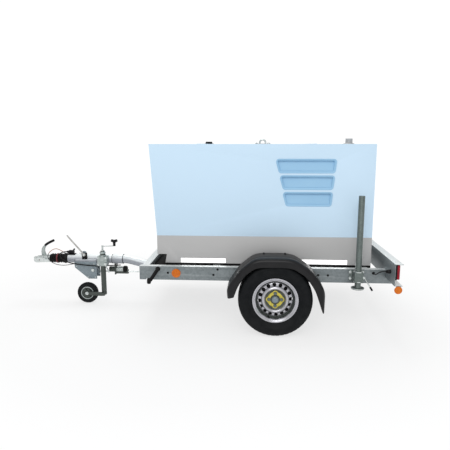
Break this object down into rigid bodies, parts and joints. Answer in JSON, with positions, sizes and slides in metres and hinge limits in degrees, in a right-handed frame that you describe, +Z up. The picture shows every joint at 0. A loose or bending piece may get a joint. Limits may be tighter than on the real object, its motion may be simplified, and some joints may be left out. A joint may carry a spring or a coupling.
{
  "type": "site trailer with canopied power unit",
  "caption": "single-axle galvanised trailer with overrun coupling, jockey wheel, prop stands, mudguards and a canopied power unit on a forklift skid",
  "frame": {"origin": "on the ground, centred under the box of the whole trailer", "axes": "+X towards the tail, +Y towards the right-hand side of a driver who faces forwards, +Z up"},
  "size_m": [3.255, 1.686, 1.556],
  "materials": {
    "galvanised": "hot-dip galvanised steel with spangle",
    "cast_grey": "zinc-coated casting",
    "ground_steel": "ground and greased",
    "silver_paint": "silver wheel paint",
    "yellow_plate": "yellow passivated",
    "tyre_rubber": "tread rubber",
    "black_plastic": "moulded, fine grain",
    "black_rubber": "soft rubber",
    "cable_sheath": "brown plastic sheath over wire rope",
    "red_lens": "red moulded lens",
    "amber_lens": "prismatic amber",
    "blue_paint": "pale blue powder coat",
    "recess_blue": "blue powder coat in the louvre recesses",
    "base_grey": "grey powder coat",
    "white_paint": "white paint",
    "exhaust_steel": "bare steel, heat dulled",
    "engine_metal": "cast aluminium",
    "alternator_metal": "cast aluminium frame",
    "tank_plastic": "moulded tank"
  },
  "bodies": {
    "root": {"side_member_left": "galvanised", "side_member_right": "galvanised", "crossmembers": "galvanised", "rear_light_beam": "galvanised", "drawbar_tube": "galvanised", "drawbar_mounts": "galvanised", "overrun_housing": "cast_grey", "overrun_side_plates": "galvanised", "brake_spring_cylinder": "galvanised", "bellows": "black_rubber", "housing_brackets": "galvanised", "tow_plug": "black_plastic", "tow_cable": "black_rubber", "breakaway_cable": "cable_sheath", "jockey_clamp": "galvanised", "axle_beam": "galvanised", "mudguard_left": "black_plastic", "mudguard_right": "black_plastic", "mudguard_struts": "galvanised", "tail_lamps": "red_lens", "side_reflectors": "amber_lens", "marker_lamps": "black_rubber", "lamp_plugs": "black_plastic", "lamp_cables": "black_rubber", "prop_clamps": "galvanised", "skid_base": "base_grey", "fork_pockets": "white_paint", "canopy_shell": "blue_paint", "louvre_panels": "recess_blue", "exhaust": "exhaust_steel", "rubber_mounts": "black_rubber", "engine": "engine_metal", "alternator": "alternator_metal", "fuel_tank": "tank_plastic"},
    "coupling": {"coupling_shaft": "ground_steel", "coupling_head": "cast_grey"},
    "coupling_lever": {"coupling_handle": "cast_grey"},
    "handbrake": {"handbrake_lever": "galvanised"},
    "relay": {"brake_relay_lever": "galvanised"},
    "pull_rod": {"brake_rod": "galvanised"},
    "jockey_column": {"jockey_outer_tube": "galvanised"},
    "jockey_screw": {"jockey_crank": "galvanised"},
    "jockey_leg": {"jockey_inner_tube": "galvanised"},
    "jockey_caster": {"jockey_fork": "galvanised"},
    "jockey_roller": {"jockey_wheel": "tyre_rubber"},
    "jockey_lock": {"jockey_clamp_lever": "galvanised"},
    "arm_left": {"swing_arm_left": "galvanised"},
    "wheel_left": {"tyre_left": "tyre_rubber", "rim_left": "silver_paint", "hub_drum_left": "cast_grey", "wheel_bolts_left": "yellow_plate"},
    "prop_left": {"prop_tube_left": "galvanised"},
    "prop_lock_left": {"prop_lever_left": "galvanised"},
    "arm_right": {"swing_arm_right": "galvanised"},
    "wheel_right": {"tyre_right": "tyre_rubber", "rim_right": "silver_paint", "hub_drum_right": "cast_grey", "wheel_bolts_right": "yellow_plate"},
    "prop_right": {"prop_tube_right": "galvanised"},
    "prop_lock_right": {"prop_lever_right": "galvanised"}
  },
  "joints": [
    {"name": "overrun_slide", "type": "slide", "parent": "root", "child": "coupling", "axis": [1, 0, 0], "range_m": [0, 0.08], "deforming": ["bellows"]},
    {"name": "coupling_handle_lift", "type": "hinge", "parent": "coupling", "child": "coupling_lever", "pos_m": [-1.5285, 0, 0.43], "axis": [0, 1, 0], "range_deg": [-35, 0]},
    {"name": "handbrake_swing", "type": "hinge", "parent": "root", "child": "handbrake", "pos_m": [-1.1135, -0.052, 0.465], "axis": [0, 1, 0], "range_deg": [-25, 35]},
    {"name": "relay_swing", "type": "hinge", "parent": "root", "child": "relay", "pos_m": [-1.0335, 0, 0.314], "axis": [0, 1, 0], "range_deg": [-7, 9]},
    {"name": "pull_rod_slide", "type": "slide", "parent": "root", "child": "pull_rod", "axis": [-1, 0, 0], "range_m": [-0.006, 0.008]},
    {"name": "jockey_column_slide", "type": "slide", "parent": "root", "child": "jockey_column", "axis": [0, 0, 1], "range_m": [0, 0.1]},
    {"name": "jockey_leg_slide", "type": "slide", "parent": "jockey_column", "child": "jockey_leg", "axis": [0, 0, 1], "range_m": [-0.12, 0]},
    {"name": "jockey_crank_turn", "type": "hinge", "parent": "jockey_column", "child": "jockey_screw", "pos_m": [-0.9235, -0.079, 0.5], "axis": [0, 0, 1], "range_deg": [-10800, 0]},
    {"name": "jockey_swivel", "type": "hinge", "parent": "jockey_leg", "child": "jockey_caster", "pos_m": [-0.9235, -0.079, 0.1], "axis": [0, 0, 1], "range_deg": [-180, 180]},
    {"name": "jockey_roll", "type": "hinge", "parent": "jockey_caster", "child": "jockey_roller", "pos_m": [-1.0825, -0.079, 0.1], "axis": [0, 1, 0], "continuous": true},
    {"name": "jockey_lock_turn", "type": "hinge", "parent": "root", "child": "jockey_lock", "pos_m": [-0.8895, -0.099, 0.392], "axis": [0, 1, 0], "range_deg": [-90, 90]},
    {"name": "arm_left_swing", "type": "hinge", "parent": "root", "child": "arm_left", "pos_m": [0.5265, -0.6, 0.34], "axis": [0, 1, 0], "range_deg": [-10, 10], "stiffness_Nm_per_rad": 4000, "springref_deg": 7.45},
    {"name": "wheel_left_roll", "type": "hinge", "parent": "arm_left", "child": "wheel_left", "pos_m": [0.6765, -0.7205, 0.295], "axis": [0, 1, 0], "continuous": true},
    {"name": "prop_left_slide", "type": "slide", "parent": "root", "child": "prop_left", "axis": [0, 0, 1], "range_m": [-0.36, 0.045]},
    {"name": "prop_lock_left_turn", "type": "hinge", "parent": "root", "child": "prop_lock_left", "pos_m": [1.3705, -0.663, 0.456], "axis": [1, 0, 0], "range_deg": [-120, 0]},
    {"name": "arm_right_swing", "type": "hinge", "parent": "root", "child": "arm_right", "pos_m": [0.5265, 0.6, 0.34], "axis": [0, 1, 0], "range_deg": [-10, 10], "stiffness_Nm_per_rad": 4000, "springref_deg": 7.45},
    {"name": "wheel_right_roll", "type": "hinge", "parent": "arm_right", "child": "wheel_right", "pos_m": [0.6765, 0.7205, 0.295], "axis": [0, 1, 0], "continuous": true},
    {"name": "prop_right_slide", "type": "slide", "parent": "root", "child": "prop_right", "axis": [0, 0, 1], "range_m": [-0.36, 0.045]},
    {"name": "prop_lock_right_turn", "type": "hinge", "parent": "root", "child": "prop_lock_right", "pos_m": [1.3705, 0.663, 0.456], "axis": [1, 0, 0], "range_deg": [0, 120]}
  ],
  "couplings": [
    {"joint": "relay_swing", "follows": "handbrake_swing", "ratio": 0.25},
    {"joint": "pull_rod_slide", "follows": "handbrake_swing", "m_per_rad": 0.012},
    {"joint": "jockey_crank_turn", "follows": "jockey_leg_slide", "rad_per_m": 1570.8}
  ]
}
